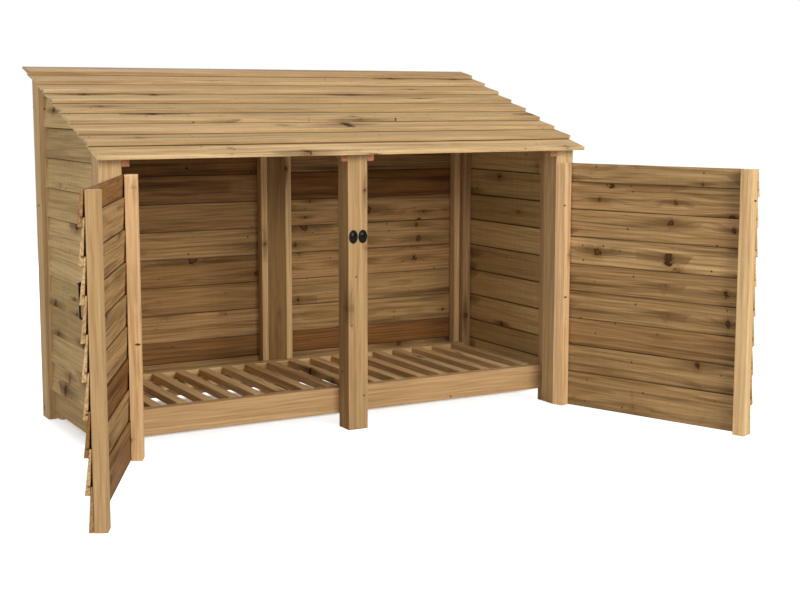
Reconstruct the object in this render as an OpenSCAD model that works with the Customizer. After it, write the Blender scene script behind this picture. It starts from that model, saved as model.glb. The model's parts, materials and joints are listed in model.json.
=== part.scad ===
// Double-bay log store with a mono-pitch roof and two outward-opening doors.
// Pressure-treated softwood: square posts, lapped feather-edge cladding on battens,
// slatted floor, black japanned tee hinges and cabin hooks.
// Frame: X to the right, Y from front to back, Z up. The front faces -Y.
// The origin is at ground level, in the middle of the foot of the centre front post.

/* [Overall] */
// Width over the outer faces of the corner posts
store_w = 1800; // [1200:1:2600]
// Depth from the front faces of the front posts to the rear faces of the rear posts
store_d = 743; // [500:1:1100]
// Height of the underside of the roof boards at the front faces of the front posts
front_h = 968; // [800:1:1400]
// Fall of the roof towards the front, in degrees
roof_pitch = 18.75; // [8:0.25:30]

/* [Posts and battens] */
// Side of the square posts
post_w = 75; // [70:1:110]
// Narrow side of the battens
batten_t = 25; // [18:1:40]
// Wide side of the battens
batten_w = 38; // [25:1:60]

/* [Cladding boards] */
// Width of a feather-edge board
board_w = 125; // [120:1:175]
// Thickness of a board at its lower, thick edge
board_butt = 14; // [10:0.5:20]
// Thickness of a board at its upper, thin edge
board_tip = 6; // [4:0.5:9]
// Face of a wall board that is left uncovered
wall_exposure = 103.5; // [80:0.5:115]
// Uncovered face of the lowest wall board
wall_first_exposure = 80; // [60:1:118]
// Height of the lower edge of the wall cladding above the ground
wall_z = 28; // [10:1:80]

/* [Roof] */
// Uncovered face of a roof board, along the slope
roof_exposure = 102; // [80:1:115]
// Overhang of the roof past the front posts, level
roof_front = 50; // [20:1:120]
// Overhang of the roof past the rear posts, level
roof_rear = 66; // [20:1:120]
// Overhang of the roof past the corner posts at each side
roof_side = 17; // [5:1:80]

/* [Floor] */
// Height of the top of the slats and rails
floor_z = 138; // [90:1:220]
// Height of a floor rail
rail_h = 90; // [60:1:130]
// Thickness of a floor rail
rail_t = 38; // [25:1:50]
// Width of a floor slat
slat_w = 38; // [25:1:60]
// Thickness of a floor slat
slat_t = 25; // [18:1:40]
// Number of slats on each side of the middle
slats_each_side = 9; // [5:1:10]
// Gap between the outermost slat and the inner faces of the corner posts
slat_side_gap = 24; // [5:1:60]

/* [Doors] */
// How far the left door stands open
left_open = 116; // [0:1:165]
// How far the right door stands open
right_open = 110; // [0:1:165]
// Height of the lower edge of the doors above the ground
door_z = 14; // [8:1:60]
// Clearance between the top of a closed door and the rafters above it
door_head_gap = 20; // [8:1:80]
// Clearance between a door and its hinge post
hinge_gap = 6; // [5:0.5:12]
// Clearance between a door and the centre post
latch_gap = 8; // [7:0.5:14]
// Distance of each door's pin from the inner face of its post, over the post
pin_outset = 15; // [0:1:40]
// How far the cladding of a closed door stands in front of the posts
door_proud = 2; // [0:0.5:10]
// Uncovered face of a door board
door_exposure = 100; // [80:1:115]
// Wide side of a door batten, along the door
door_batten_w = 45; // [38:1:60]
// Thickness of a door batten, across the door
door_batten_t = 38; // [25:1:45]

/* [Hinges and hooks] */
// Length of a hinge strap
strap_l = 250; // [150:1:350]
// Width of a hinge strap at its knuckle
strap_w = 34; // [25:1:50]
// Thickness of the hinge plates and straps
strap_t = 3; // [2:0.5:5]
// Height of a hinge plate on its post
plate_h = 100; // [60:1:140]
// Width of a hinge plate on its post
plate_w = 32; // [20:1:50]
// Radius of a hinge knuckle
knuckle_r = 5; // [4:0.25:8]
// Radius of a hinge pin
pin_r = 2.5; // [2:0.25:4]
// Running clearance between a hinge pin and the strap's knuckle
pin_clear = 0.3; // [0.2:0.1:0.6]
// Distance from the back of a hinge strap to the axis of its pin
pin_stand = 5; // [4:0.5:8]
// Height of the hook eyes on the centre post above the ground
eye_z = 672; // [450:1:850]
// Distance from the middle of the centre post to the middle of each eye plate
eye_x = 18; // [14:0.5:30]
// Width of an eye plate or hook plate
catch_w = 33; // [24:1:40]
// Height of an eye plate or hook plate
catch_h = 46; // [30:1:60]
// Thickness of an eye plate or hook plate
catch_t = 3; // [2:0.5:5]
// Distance from the free edge of a door to the middle of its hook plate
hook_inset = 36; // [20:1:80]
// Length of a cabin hook, from its eye to its bend
hook_l = 90; // [60:1:140]
// Diameter of the cabin hook's rod
hook_d = 6; // [4:0.5:10]
// Outer radius of the ring of a hook eye
eye_r = 7; // [5:0.5:10]

/* [Hidden] */
$fn = 48;
half_w = store_w / 2;
front_y = -post_w / 2;
rear_y = front_y + store_d;
inner_x = half_w - post_w;
slope = tan(roof_pitch);
front_post_back = front_y + post_w;
rear_post_front = rear_y - post_w;
taper = (board_butt - board_tip) / board_w;
rafter_drop = batten_w / cos(roof_pitch);
// Clearance under the roof boards, at the slanted ends of what carries or meets them
roof_clear = 0.02;
rear_boards_y = rear_post_front + batten_w;
roof_y0 = front_y - roof_front;
roof_y1 = rear_y + roof_rear;
roof_len = (roof_y1 - roof_y0) / cos(roof_pitch);
rail_z = floor_z - rail_h;
slat_span = 2 * (inner_x - slat_side_gap);
slat_pitch = (slat_span - slat_w) / (2 * slats_each_side - 1);
bay_w = inner_x - post_w / 2;
door_w = bay_w - hinge_gap - latch_gap;
door_h = front_h - rafter_drop - door_head_gap - door_z;
pin_x = inner_x + pin_outset;
edge_run = pin_outset + hinge_gap;
pin_off = pin_stand + door_proud;
pin_y = front_y - pin_off;
door_face = pin_stand;
door_lap = lap_depth(door_exposure);
hinge_z = [for (lap = [1, floor((door_h - board_w) / door_exposure) + 1])
    door_z + lap * door_exposure + strap_w / 4];
hook_board = round((eye_z - door_z) / door_exposure - 0.5);
hook_z = door_z + (hook_board + 0.5) * door_exposure;
board_fall = seat(door_exposure) / board_w + taper;
board_lean = atan(board_fall);
hook_y = door_face + board_fall * door_exposure / 2;
knuckle_h = plate_h / 5;
// Running clearance between neighbouring knuckles, along the pin
axial_gap = 0.5;
// Clearance between a hanging hook and the butt of the board that it hangs past
hook_clear = 0.5;
hook_rise = board_fall * door_exposure / 2 + hook_clear + hook_d / 2;
// Angle between the corners of an oval plate's outline
oval_step = 15;
// Reach of a trimming block past what it trims
over = 200;

timber = "#c6a576";
shaded_timber = "#a98a5c";
board_colour = "#bd9a69";
iron = "#232323";

// Height of the underside of the roof boards at a depth y
function under_roof(y) = front_h + (y - front_y) * slope;

// Thickness of a board where the butt of the next one rests on it
function seat(exposure) = board_butt - exposure * taper;

// Full depth of lapped boards, from their battens to their proudest edges
function lap_depth(exposure) = board_butt + seat(exposure);

// A board that stands on end between two depths, its top cut to the roof, lowered by drop
module upright(x0, x1, y0, y1, z0, drop = roof_clear)
    translate([x0, 0, 0]) rotate([90, 0, 90]) linear_extrude(x1 - x0)
        polygon([[y0, z0], [y1, z0], [y1, under_roof(y1) - drop], [y0, under_roof(y0) - drop]]);

// Outline of lapped boards: level back on the v axis, saw-tooth face towards +u.
// The lowest board lies flat on the battens and each other butt rests on the board below.
module lapped_outline(height, first, exposure) {
    laps = ceil((height - first) / exposure);
    starts = [0, for (i = [0 : laps - 1]) first + i * exposure];
    last = len(starts) - 1;
    function rest(i) = i == 0 ? 0 : seat(starts[i] - starts[i - 1]);
    function shown(i) = (i < last ? starts[i + 1] : height) - starts[i];
    polygon(concat(
        [[0, 0]],
        [for (i = [0 : last]) each [
            [rest(i) + board_butt, starts[i]],
            [rest(i) * (1 - shown(i) / board_w) + board_butt - shown(i) * taper,
             starts[i] + shown(i)]]],
        [[0, height]]));
}

// Lapped cladding standing on the plane y = 0, running from x = 0 to len, face towards -Y
module lapped_wall(len, height, first, exposure)
    translate([len, 0, 0]) rotate([90, 0, -90]) linear_extrude(len)
        lapped_outline(height, first, exposure);

// Everything below the roof boards, between two depths
module under_roof_block(y0, y1)
    upright(-half_w - over, half_w + over, y0, y1, -over);

// Posts run from the ground to the roof boards
module front_post(x)
    color(timber) upright(x - post_w / 2, x + post_w / 2, front_y, front_post_back, 0);

module rear_post(x)
    color(timber) upright(x - post_w / 2, x + post_w / 2, rear_post_front, rear_y, 0);

// Floor rail between the corner posts
module rail(y0)
    color(timber) translate([-inner_x, y0, rail_z]) cube([2 * inner_x, rail_t, rail_h]);

// Ledger that carries the slat ends, along the inner face of a rail
module ledger(y0)
    color(shaded_timber) translate([-inner_x, y0, floor_z - slat_t - batten_w])
        cube([2 * inner_x, batten_t, batten_w]);

// Slats of one half of the floor, counted from the middle outwards
module slats(side)
    color(timber) for (i = [0 : slats_each_side - 1])
        translate([side * (slat_pitch / 2 + i * slat_pitch) - slat_w / 2,
                   front_post_back + rail_t, floor_z - slat_t])
            cube([slat_w, rear_post_front - front_post_back - 2 * rail_t, slat_t]);

// Upright battens of the side panels: against the posts, flush with their inner faces
module side_batten(side, y0)
    color(shaded_timber) upright(min(side * inner_x, side * (inner_x + batten_w)),
        max(side * inner_x, side * (inner_x + batten_w)), y0, y0 + batten_t, 0);

// Boards of a side panel, between its posts and cut to the roof
module side_cladding(side) {
    depth = rear_post_front - front_post_back;
    color(board_colour) intersection() {
        translate([side * (inner_x + batten_w), (front_post_back + rear_post_front) / 2, wall_z])
            rotate([0, 0, side * 90]) translate([-depth / 2, 0, 0])
                lapped_wall(depth, under_roof(rear_post_front) - wall_z + 1,
                            wall_first_exposure, wall_exposure);
        under_roof_block(front_post_back, rear_post_front);
    }
}

// Upright battens of the rear panels: beside the posts, flush with their front faces
module rear_batten(x0)
    color(shaded_timber)
        upright(x0, x0 + batten_t, rear_post_front, rear_boards_y, 0, rafter_drop);

// Boards of one bay's rear panel, from a corner post to the centre post
module rear_cladding(side)
    color(board_colour) intersection() {
        translate([side < 0 ? -post_w / 2 : inner_x, rear_boards_y, wall_z])
            rotate([0, 0, 180])
                lapped_wall(bay_w, under_roof(rear_y) - wall_z,
                            wall_first_exposure, wall_exposure);
        under_roof_block(rear_boards_y, rear_boards_y + 2 * board_butt);
    }

// Rafter on edge beside a post, from the front posts' faces to the rear boards
module rafter(x0)
    color(timber) translate([x0, 0, 0]) rotate([90, 0, 90]) linear_extrude(batten_t)
        polygon([[front_y, under_roof(front_y) - rafter_drop],
                 [rear_boards_y, under_roof(rear_boards_y) - rafter_drop],
                 [rear_boards_y, under_roof(rear_boards_y) - roof_clear],
                 [front_y, under_roof(front_y) - roof_clear]]);

// Roof boards laid from the front eaves up to the rear, each butt facing down the slope
module roof_boards()
    color(timber) translate([-half_w - roof_side, roof_y0, under_roof(roof_y0)])
        rotate([roof_pitch - 90, 0, 0])
            lapped_wall(2 * (half_w + roof_side), roof_len, roof_exposure, roof_exposure);

// A door is drawn closed, with its pin on the Z axis and its outer side towards -Y.
// The left door runs along +X from its pin and the right door along -X.
module place_door(side, open)
    translate([side * pin_x, pin_y, 0]) rotate([0, 0, side * open]) children();

// Moves a piece that is drawn from x = 0 to len so that it starts at a run along the door
module along_door(side, run, len)
    translate([side < 0 ? run : -run - len, 0, 0]) children();

// Boards of a door, their face outwards and their backs on the battens
module door_cladding(side)
    color(board_colour) along_door(side, edge_run, door_w)
        translate([0, door_face + door_lap, door_z])
            lapped_wall(door_w, door_h, door_exposure, door_exposure);

// Upright batten inside a door, at a run from its hinge edge
module door_batten(side, run)
    color(timber) along_door(side, edge_run + run, door_batten_w)
        translate([0, door_face + door_lap, door_z])
            cube([door_batten_w, door_batten_t, door_h]);

// Repeats a hinge piece at both heights, turned over for the right door
module at_hinges(side)
    for (z = hinge_z) translate([0, 0, z]) rotate([0, side < 0 ? 0 : 180, 0]) children();

// Plates on a post, each with its two knuckles and its pin
module hinge_plate_set(side)
    color(iron) at_hinges(side) {
        translate([-plate_w - knuckle_r, pin_off - strap_t, -plate_h / 2])
            cube([plate_w, strap_t, plate_h]);
        for (k = [-1, 1]) translate([0, 0, k * (1.5 * knuckle_h + axial_gap) - knuckle_h / 2]) {
            cylinder(r = knuckle_r, h = knuckle_h);
            translate([-knuckle_r - strap_t, 0, 0])
                cube([knuckle_r + strap_t, pin_off, knuckle_h]);
        }
        translate([0, 0, -2 * knuckle_h]) cylinder(r = pin_r, h = 4 * knuckle_h);
    }

// Straps on a door, each with its knuckle bored for the pin
module hinge_strap_set(side)
    color(iron) at_hinges(side) difference() {
        union() {
            translate([0, 0, -knuckle_h]) cylinder(r = knuckle_r, h = 2 * knuckle_h);
            translate([0, door_face, 0]) rotate([90, 0, 0]) linear_extrude(strap_t)
                polygon([[0, -knuckle_h], [strap_w, -strap_w / 2],
                         [strap_l, -strap_w / 4], [strap_l, strap_w / 4],
                         [strap_w, strap_w / 2], [0, knuckle_h]]);
        }
        translate([0, 0, -2 * knuckle_h]) cylinder(r = pin_r + pin_clear, h = 4 * knuckle_h);
    }

// Oval plate that carries a catch, its back on the plane y = 0 and its face towards -Y
module catch_plate()
    rotate([90, 0, 0]) linear_extrude(catch_t)
        polygon([for (a = [0 : oval_step : 360 - oval_step]) [catch_w / 2 * cos(a), catch_h / 2 * sin(a)]]);

// Eye plate on the centre post with the ring that a cabin hook drops into
module hook_eye(side)
    color(iron) translate([side * eye_x, front_y, eye_z]) {
        catch_plate();
        translate([0, -catch_t / 2 - eye_r, 0]) difference() {
            cylinder(r = eye_r, h = hook_d / 2, center = true);
            cylinder(r = eye_r / 2, h = hook_d, center = true);
        }
    }

// Cabin hook hanging from its plate, which lies on the face of a board at the free edge
module cabin_hook(side)
    color(iron) translate([-side * (edge_run + door_w - hook_inset), hook_y, hook_z]) {
        rotate([-board_lean, 0, 0]) catch_plate();
        translate([0, -catch_t / 2, 0]) rotate([90, 0, 0])
            cylinder(d = hook_d, h = hook_rise + hook_d / 2 - catch_t / 2);
        translate([0, -hook_rise, -hook_l]) cylinder(d = hook_d, h = hook_l);
        translate([0, -hook_rise - hook_d / 2, -hook_l]) rotate([-90, 0, 0])
            cylinder(d = hook_d, h = hook_d * 2);
    }

front_post(-inner_x - post_w / 2);  // left_front_post
front_post(0);  // centre_front_post
front_post(inner_x + post_w / 2);  // right_front_post
rear_post(-inner_x - post_w / 2);  // left_rear_post
rear_post(0);  // centre_rear_post
rear_post(inner_x + post_w / 2);  // right_rear_post
rail(front_post_back);  // front_floor_rail
rail(rear_post_front - rail_t);  // rear_floor_rail
ledger(front_post_back + rail_t);  // front_slat_ledger
ledger(rear_post_front - rail_t - batten_t);  // rear_slat_ledger
slats(-1);  // left_floor_slats
slats(1);  // right_floor_slats
side_batten(-1, front_post_back);  // left_side_front_batten
side_batten(-1, rear_post_front - batten_t);  // left_side_rear_batten
side_cladding(-1);  // left_side_cladding
side_batten(1, front_post_back);  // right_side_front_batten
side_batten(1, rear_post_front - batten_t);  // right_side_rear_batten
side_cladding(1);  // right_side_cladding
rear_batten(-inner_x);  // rear_left_outer_batten
rear_batten(-post_w / 2 - batten_t);  // rear_left_inner_batten
rear_cladding(-1);  // rear_left_cladding
rear_batten(inner_x - batten_t);  // rear_right_outer_batten
rear_batten(post_w / 2);  // rear_right_inner_batten
rear_cladding(1);  // rear_right_cladding
rafter(-inner_x);  // left_rafter
rafter(-post_w / 2 - batten_t);  // centre_left_rafter
rafter(post_w / 2);  // centre_right_rafter
rafter(inner_x - batten_t);  // right_rafter
roof_boards();
place_door(-1, left_open) door_cladding(-1);  // left_door_cladding
place_door(-1, left_open) door_batten(-1, 0);  // left_door_hinge_batten
place_door(-1, left_open) door_batten(-1, door_w - door_batten_w);  // left_door_free_batten
place_door(1, right_open) door_cladding(1);  // right_door_cladding
place_door(1, right_open) door_batten(1, 0);  // right_door_hinge_batten
place_door(1, right_open) door_batten(1, door_w - door_batten_w);  // right_door_free_batten
place_door(-1, 0) hinge_plate_set(-1);  // left_hinge_plates
place_door(-1, left_open) hinge_strap_set(-1);  // left_hinge_straps
place_door(1, 0) hinge_plate_set(1);  // right_hinge_plates
place_door(1, right_open) hinge_strap_set(1);  // right_hinge_straps
hook_eye(-1);  // left_hook_eye
hook_eye(1);  // right_hook_eye
place_door(-1, left_open) cabin_hook(-1);  // left_cabin_hook
place_door(1, right_open) cabin_hook(1);  // right_cabin_hook
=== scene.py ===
"""A double log store in pressure-treated softwood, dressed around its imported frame.

Every timber and board is shaped on its own axes, so that the grain of each one follows its own
length, and then placed where the frame says. Lengths are in metres and angles in radians.
"""

import json
import logging
import math
import random
from collections.abc import Callable, Sequence
from dataclasses import dataclass, field, replace
from enum import Enum
from functools import partial

import bmesh
import bpy
from mathutils import Matrix, Vector, noise


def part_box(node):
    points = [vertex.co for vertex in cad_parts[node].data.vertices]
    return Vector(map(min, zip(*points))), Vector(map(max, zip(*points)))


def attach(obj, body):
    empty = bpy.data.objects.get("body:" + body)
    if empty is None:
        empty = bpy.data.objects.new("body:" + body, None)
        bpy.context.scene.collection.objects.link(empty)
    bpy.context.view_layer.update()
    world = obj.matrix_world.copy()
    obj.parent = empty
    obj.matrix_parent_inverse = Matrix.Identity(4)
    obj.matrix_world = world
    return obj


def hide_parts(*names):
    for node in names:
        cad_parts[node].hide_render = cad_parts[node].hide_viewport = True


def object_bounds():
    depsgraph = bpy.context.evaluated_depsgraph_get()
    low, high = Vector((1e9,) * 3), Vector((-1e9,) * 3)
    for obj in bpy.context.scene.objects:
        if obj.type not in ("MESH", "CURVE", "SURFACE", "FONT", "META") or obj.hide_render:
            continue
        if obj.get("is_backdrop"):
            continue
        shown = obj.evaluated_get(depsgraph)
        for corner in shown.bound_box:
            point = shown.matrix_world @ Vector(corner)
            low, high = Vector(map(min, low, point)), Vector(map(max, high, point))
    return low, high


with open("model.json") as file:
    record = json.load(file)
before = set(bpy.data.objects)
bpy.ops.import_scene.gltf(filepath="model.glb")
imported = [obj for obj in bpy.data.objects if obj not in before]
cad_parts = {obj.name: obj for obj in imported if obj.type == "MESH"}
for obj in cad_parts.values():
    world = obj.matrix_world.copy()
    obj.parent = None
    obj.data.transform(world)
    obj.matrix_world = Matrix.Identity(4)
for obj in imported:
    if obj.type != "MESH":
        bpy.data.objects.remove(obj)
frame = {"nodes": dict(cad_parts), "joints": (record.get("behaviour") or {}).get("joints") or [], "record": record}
CAD_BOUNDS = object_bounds()

MM = 0.001
LOG = logging.getLogger("log_store")
MIX_A = 6  # a mix node's first colour
MIX_B = 7
NOISE = (0.3, 0.7)  # nearly all of a noise lies between these
SMOOTH = {"interpolation_type": "SMOOTHSTEP"}
NEAR = 1e-6  # how near two lengths count as one
UP = Vector((0, 0, 1))
RIGHT = Vector((1, 0, 0))
BACK = Vector((0, 1, 0))

BMesh = bmesh.types.BMesh
Piece = bpy.types.Object
Node = bpy.types.Node
Socket = bpy.types.NodeSocket
Adder = Callable[..., Node]  # add_node, with its tree given
Place = tuple[float, float, float]
Pair = tuple[float, float]
Span = tuple[float, float]  # the lowest and highest of a range
Colour = tuple[float, float, float, float]
Box = tuple[Vector, Vector]
shift = Matrix.Translation


class Side(Enum):
    """The two sides of the store, seen from the front."""

    LEFT = -1
    RIGHT = 1

    @property
    def word(self) -> str:
        """The word that stands for this side in the names of nodes."""
        return self.name.lower()


class Slot(Enum):
    """The record's material slots."""

    TIMBER = "treated_timber"
    BOARDS = "treated_boards"
    IRON = "black_iron"


class Tint(Enum):
    """How light and how warm one timber is beside its neighbours, both from 0 to 1."""

    PALE = (0.85, 0.4)
    PINK = (1.0, 0.9)  # as pale as they come
    HONEY = (0.7, 0.6)
    TAN = (0.4, 0.45)
    # Darkest of all, given to the rear centre post as painted shade of the recess that it stands in.
    BROWN = (0.05, 0.4)


# ---------------------------------------------------------------- materials


def linear(code: str) -> Colour:
    """Turns an sRGB hex colour to the linear values that a shader takes.

    Args:
        code: Six hex digits, with or without a leading hash.

    Returns:
        Red, green, blue and a full alpha.
    """
    digits = code.lstrip("#")
    levels = [int(digits[i : i + 2], 16) / 255 for i in (0, 2, 4)]
    curve = [x / 12.92 if x <= 0.04045 else ((x + 0.055) / 1.055) ** 2.4 for x in levels]
    return curve[0], curve[1], curve[2], 1.0


def grey(level: float) -> Colour:
    """A grey of a linear level."""
    return level, level, level, 1.0


def add_node(tree: bpy.types.NodeTree, kind: str, inputs: Sequence | dict = (), **settings) -> Node:
    """Adds a node with its settings and links.

    Args:
        tree: The node tree that gets the node.
        kind: The node's type, without the ShaderNode that they all start with.
        inputs: What its sockets get, as a list in their order, or by name or number. Each is a
            value, a hex colour, a socket, or a node whose shown output is linked.
        **settings: The node's own properties; stops are a ramp's places and grey levels.

    Returns:
        The new node.
    """
    node = tree.nodes.new(f"ShaderNode{kind}")
    stops = settings.pop("stops", [])
    for name, value in settings.items():
        setattr(node, name, value)
    while stops and len(node.color_ramp.elements) < len(stops):
        node.color_ramp.elements.new(0.5)
    for element, (place, level) in zip(node.color_ramp.elements if stops else [], stops):
        element.position = place
        element.color = grey(level)
    named = inputs if isinstance(inputs, dict) else dict(enumerate(inputs))
    for key, value in named.items():
        if isinstance(value, Node):
            value = next(output for output in value.outputs if output.enabled)
        if isinstance(value, Socket):
            tree.links.new(value, node.inputs[key])
        else:
            node.inputs[key].default_value = linear(value) if isinstance(value, str) else value
    return node


@dataclass(frozen=True)
class Finish:
    """What every finish has: a name, and a node tree made once."""

    name: str

    def material(self) -> bpy.types.Material:
        """Gives this finish's material, and makes it on first use.

        Returns:
            The material.
        """
        made = bpy.data.materials.get(self.name)
        if made is None:
            made = bpy.data.materials.new(self.name)
            made.use_nodes = True
            made.node_tree.nodes.clear()
            add = partial(add_node, made.node_tree)
            add("OutputMaterial", {"Surface": self.shade(add)})
        return made

    def shade(self, add: Adder) -> Node:
        """Builds the shader. Each finish has its own."""
        raise NotImplementedError


@dataclass(frozen=True)
class Softwood(Finish):
    """Pressure-treated pine, read as solid wood: rings round a pith, knots, streaks and stain.

    Its patterns lie in the timber's own axes, kept in the mesh as "grain": x runs along the
    fibres, and y and z are measured from the pith of the tree. "tone" holds each timber's own
    lightness, warmth and knottiness.
    """

    early: str = "#d2b787"  # pale spring wood
    late: str = "#937148"  # denser summer wood, the dark side of each ring
    stain: str = "#59401f"  # where the preservative sits deep
    warm: str = "#bd8f5c"  # pinkish heart
    cool: str = "#a5925f"  # greenish, copper from the preservative
    knot: str = "#563a1c"  # sound knot
    resin: str = "#6c421d"  # resinous knot
    flare: str = "#73502a"  # golden wood that swells round a knot
    rim: str = "#2a190c"  # bark ring around a dead knot, and the dark colour of the painted shade in the laps
    deep: str = "#966f3a"  # how the deepest treatment tints the wood, and the painted shade of the rear boards and the rear centre post
    ring_width: float = 12 * MM  # real rings are 3 to 5 mm; drawn coarser so that they show
    ring_depth: float = 0.55  # how much the rings show
    streak_width: float = 14 * MM  # bands of unlike fibres
    soak: float = 0.75  # how dark the deeply treated streaks are
    fibre_depth: float = 0.24  # how much the fibres show
    fibre_width: float = 5 * MM  # real fibres are far finer; drawn as coarse as they show
    knot_length: float = 260 * MM  # spacing of the whorls of knots along the grain
    knot_spread: float = 60 * MM  # spacing of knots across the grain
    knot_share: float = 0.42  # share of those places that hold a knot
    knot_small: float = 4 * MM
    knot_large: float = 19 * MM
    pin_spacing: Place = (85 * MM, 42 * MM, 30 * MM)  # of fine twigs' knots
    pin_depth: float = 12 * MM  # what their last spacing counts as, so that they run deep
    pin_small: float = 2.6 * MM
    pin_large: float = 5.0 * MM
    saw_pitch: float = 9 * MM  # marks left across the grain by the saw, drawn coarser than the real 4 mm
    saw_depth: float = 0.2  # how much the saw marks show; little on planed timber
    rough: float = 0.7
    gloss: float = 0.2  # open pores leave less gloss than the wood's own IOR gives
    lap_width: float = 5 * MM  # how far the painted shade reaches out of a lap
    # how dark the painted shade in the laps is
    lap_soil: float = 0.75

    def shade(self, add: Adder) -> Node:
        """Builds the solid wood in its layers."""
        return WoodLayers(self, add).shader()


@dataclass(frozen=True)
class Knots:
    """How each point of the wood lies to the knot of its cell."""

    present: Node  # 1 where the cell holds a knot
    kind: Socket  # by chance, from 0 to 1
    ratio: Node  # distance in radii of the knot
    core: Node  # 1 in the knot
    halo: Node  # how far the knot pushes the rings
    trail: Node  # dark wood before and after it


class WoodLayers:
    """A softwood's node tree, built up from its patterns."""

    def __init__(self, wood: Softwood, add: Adder) -> None:
        """Reads the timber's own coordinates and tone, and draws its patterns.

        Args:
            wood: The softwood.
            add: Adds a node to its tree.
        """
        self.wood = wood
        self.add = add
        self.grain = add("Attribute", attribute_name="grain").outputs["Vector"]
        tone = add("Attribute", attribute_name="tone").outputs["Vector"]
        self.light, self.warmth, self.knottiness = add("SeparateXYZ", [tone]).outputs
        self.knots = self.find_knots()
        self.rings = self.draw_rings()
        self.streaks = self.drawn_out(1.9, 1 / wood.streak_width, 4.0)
        self.fibres = self.drawn_out(5.0, 1 / wood.fibre_width, 2.0)

    def shader(self) -> Node:
        """Puts colour, gloss and relief together.

        Returns:
            The shader node.
        """
        rough = self.wood.rough
        return self.add("BsdfPrincipled", {
            "Base Color": self.soiled(self.knotted(self.clear_wood())),
            "Roughness": self.add("MapRange", [self.streaks, *NOISE, rough - 0.08, rough + 0.1]),
            "Normal": self.add("Bump", {"Strength": 0.45, "Distance": 0.6 * MM, "Height": self.relief()}),
            "Specular IOR Level": self.wood.gloss,
        })

    def drawn_out(self, along: float, across: float, detail: float) -> Node:
        """Noise drawn out along the grain.

        Args:
            along: Features per metre along the grain.
            across: Features per metre across it.
            detail: How many finer layers the noise has.

        Returns:
            The noise node.
        """
        stretched = self.add("VectorMath", [self.grain, (along, across, across)], operation="MULTIPLY")
        return self.add("TexNoise", {"Vector": stretched, "Scale": 1.0, "Detail": detail, "Roughness": 0.6})

    def scatter(self, cell: Place, measure: Place, randomness: float) -> tuple[Node, Node]:
        """Drops a point into each cell of the wood.

        Args:
            cell: The cell's size along, across and through the grain.
            measure: What that size counts as in distances.
            randomness: How far the points stray from a lattice.

        Returns:
            The node of the nearest point, and the way to it.
        """
        per_cell = tuple(1 / size for size in cell)
        place = self.add("VectorMath", [self.grain, per_cell], operation="MULTIPLY")
        found = self.add("TexVoronoi", {"Vector": place, "Scale": 1.0, "Randomness": randomness})
        away = self.add("VectorMath", [found.outputs["Position"], place], operation="SUBTRACT")
        return found, self.add("VectorMath", [away, measure], operation="MULTIPLY")

    def find_knots(self) -> Knots:
        """Places the knots, one at most in each cell of the wood.

        Returns:
            The knots.
        """
        add, wood = self.add, self.wood
        cell = (wood.knot_length, wood.knot_spread, wood.knot_spread)
        found, away = self.scatter(cell, cell, 0.5)
        luck, size, kind = add("SeparateColor", [found.outputs["Color"]]).outputs
        share = add("MapRange", [self.knottiness, 0.0, 1.0, 0.25 * wood.knot_share, 1.6 * wood.knot_share])
        present = add("Math", [luck, share], operation="LESS_THAN")
        # A branch cut lengthwise shows as a slash across the board, others as an oval.
        across = add("MapRange", [kind, 0.72, 0.9, 1.1, 0.3])
        x, y, z = add("SeparateXYZ", [away]).outputs
        slash = add("Math", [y, across], operation="MULTIPLY")
        depth = add("Math", [z, 0.6], operation="MULTIPLY")
        run = add("Math", [x, 0.16], operation="MULTIPLY")
        distance = add("VectorMath", [add("CombineXYZ", [x, slash, depth])], operation="LENGTH")
        beside = add("VectorMath", [add("CombineXYZ", [run, y, depth])], operation="LENGTH")
        uneven = add("MapRange", [self.drawn_out(70.0, 90.0, 1.0), 0.25, 0.75, 0.65, 1.35])
        distance = add("Math", [distance, uneven], operation="MULTIPLY")
        skewed = add("Math", [size, 2.0], operation="POWER")
        radius = add("MapRange", [skewed, 0.0, 1.0, wood.knot_small, wood.knot_large])
        ratio = add("Math", [distance, radius], operation="DIVIDE")
        core = add("MapRange", [ratio, 1.15, 0.9], **SMOOTH)
        trail = add("Math", [beside, radius], operation="DIVIDE")
        trail = add("MapRange", [trail, 2.2, 0.3, 0.0, 0.75], **SMOOTH)
        near = add("MapRange", [found.outputs["Distance"], 0.5, 0.05], **SMOOTH)
        near = add("Math", [near, size], operation="MULTIPLY")
        shown = [add("Math", [layer, present], operation="MULTIPLY") for layer in (core, near, trail)]
        return Knots(present, kind, ratio, *shown)

    def pin_knots(self) -> Node:
        """Scatters the small dark knots of fine twigs, more of them in a knotty timber.

        Returns:
            1 in a pin knot.
        """
        add, wood = self.add, self.wood
        found, away = self.scatter(wood.pin_spacing, (*wood.pin_spacing[:2], wood.pin_depth), 1.0)
        distance = add("VectorMath", [away], operation="LENGTH")
        luck = add("SeparateColor", [found.outputs["Color"]]).outputs[0]
        share = add("MapRange", [self.knottiness, 0.3, 1.0, 0.02, 0.4])
        present = add("Math", [luck, share], operation="LESS_THAN")
        dot = add("MapRange", [distance, wood.pin_large, wood.pin_small], **SMOOTH)
        return add("Math", [dot, present], operation="MULTIPLY")

    def draw_rings(self) -> Node:
        """Draws the growth rings round the pith, pushed out of line by each knot.

        Returns:
            From 0 in spring wood to 1 in summer wood.
        """
        add, width = self.add, self.wood.ring_width
        flat = add("VectorMath", [self.grain, (0.0, 1.0, 1.0)], operation="MULTIPLY")
        radius = add("VectorMath", [flat], operation="LENGTH")
        for push, rings in ((self.drawn_out(2.4, 11.0, 2.0), 2.6), (self.knots.halo, 2.2)):
            radius = add("Math", [push, rings * width, radius], operation="MULTIPLY_ADD")
        turns = add("Math", [radius, width], operation="DIVIDE")
        phase = add("Math", [turns], operation="FRACT")
        stops = [(0.0, 0.1), (0.45, 0.16), (0.82, 1.0), (0.93, 0.75), (1.0, 0.1)]
        return add("ValToRGB", [phase], stops=stops)

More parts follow.
